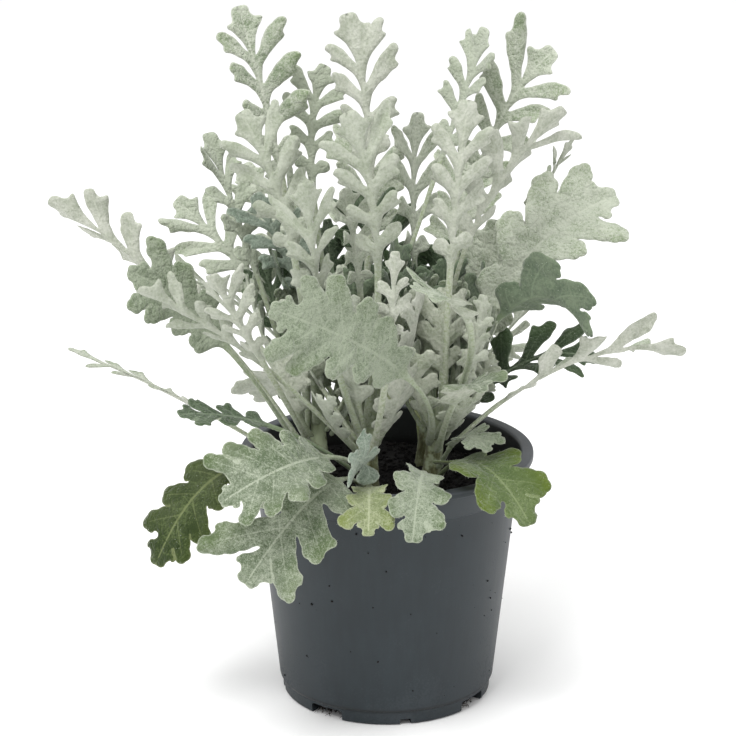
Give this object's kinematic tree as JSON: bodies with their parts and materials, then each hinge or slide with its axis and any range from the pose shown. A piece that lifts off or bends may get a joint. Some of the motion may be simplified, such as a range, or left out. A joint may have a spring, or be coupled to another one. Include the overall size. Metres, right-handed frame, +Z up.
{
  "type": "potted dusty miller plant",
  "caption": "Dusty miller with pale felted, deeply lobed leaves on long stalks, growing from short stems in a dark round tapered nursery pot filled with soil.",
  "frame": {"origin": "centre of the pot's underside, on the surface it stands on", "axes": "+Z up, +X to the right in the picture, -Y towards the viewer of the picture"},
  "size_m": [0.256, 0.2151, 0.2836],
  "materials": {
    "pot": "satin moulded plastic, dark slate grey",
    "soil": "moist dark peat, crumbly; fabric stands in for soil",
    "stem": "woody stem with pale felt",
    "leaf": "silver-white felted leaf over grey-green; fabric stands in for living leaf"
  },
  "bodies": {
    "root": {"pot": "pot", "soil": "soil", "stem_a": "stem", "stem_b": "stem", "stem_c": "stem", "stem_d": "stem", "stem_e": "stem", "leaf_01": "leaf", "leaf_02": "leaf", "leaf_03": "leaf", "leaf_04": "leaf", "leaf_05": "leaf", "leaf_06": "leaf", "leaf_07": "leaf", "leaf_08": "leaf", "leaf_09": "leaf", "leaf_10": "leaf", "leaf_11": "leaf", "leaf_12": "leaf", "leaf_13": "leaf", "leaf_14": "leaf", "leaf_15": "leaf", "leaf_16": "leaf", "leaf_17": "leaf", "leaf_18": "leaf", "leaf_19": "leaf", "leaf_20": "leaf", "leaf_21": "leaf", "leaf_22": "leaf", "leaf_23": "leaf", "leaf_24": "leaf", "leaf_25": "leaf", "leaf_26": "leaf", "leaf_27": "leaf", "leaf_28": "leaf", "leaf_29": "leaf", "leaf_30": "leaf", "leaf_31": "leaf", "leaf_32": "leaf", "leaf_33": "leaf", "leaf_34": "leaf", "leaf_35": "leaf", "leaf_36": "leaf", "leaf_37": "leaf", "leaf_38": "leaf", "leaf_39": "leaf", "leaf_40": "leaf", "leaf_41": "leaf", "leaf_42": "leaf", "leaf_43": "leaf", "leaf_44": "leaf", "leaf_45": "leaf", "leaf_46": "leaf", "leaf_47": "leaf", "leaf_48": "leaf", "leaf_49": "leaf", "leaf_50": "leaf", "leaf_51": "leaf", "leaf_52": "leaf", "leaf_53": "leaf"}
  },
  "joints": []
}
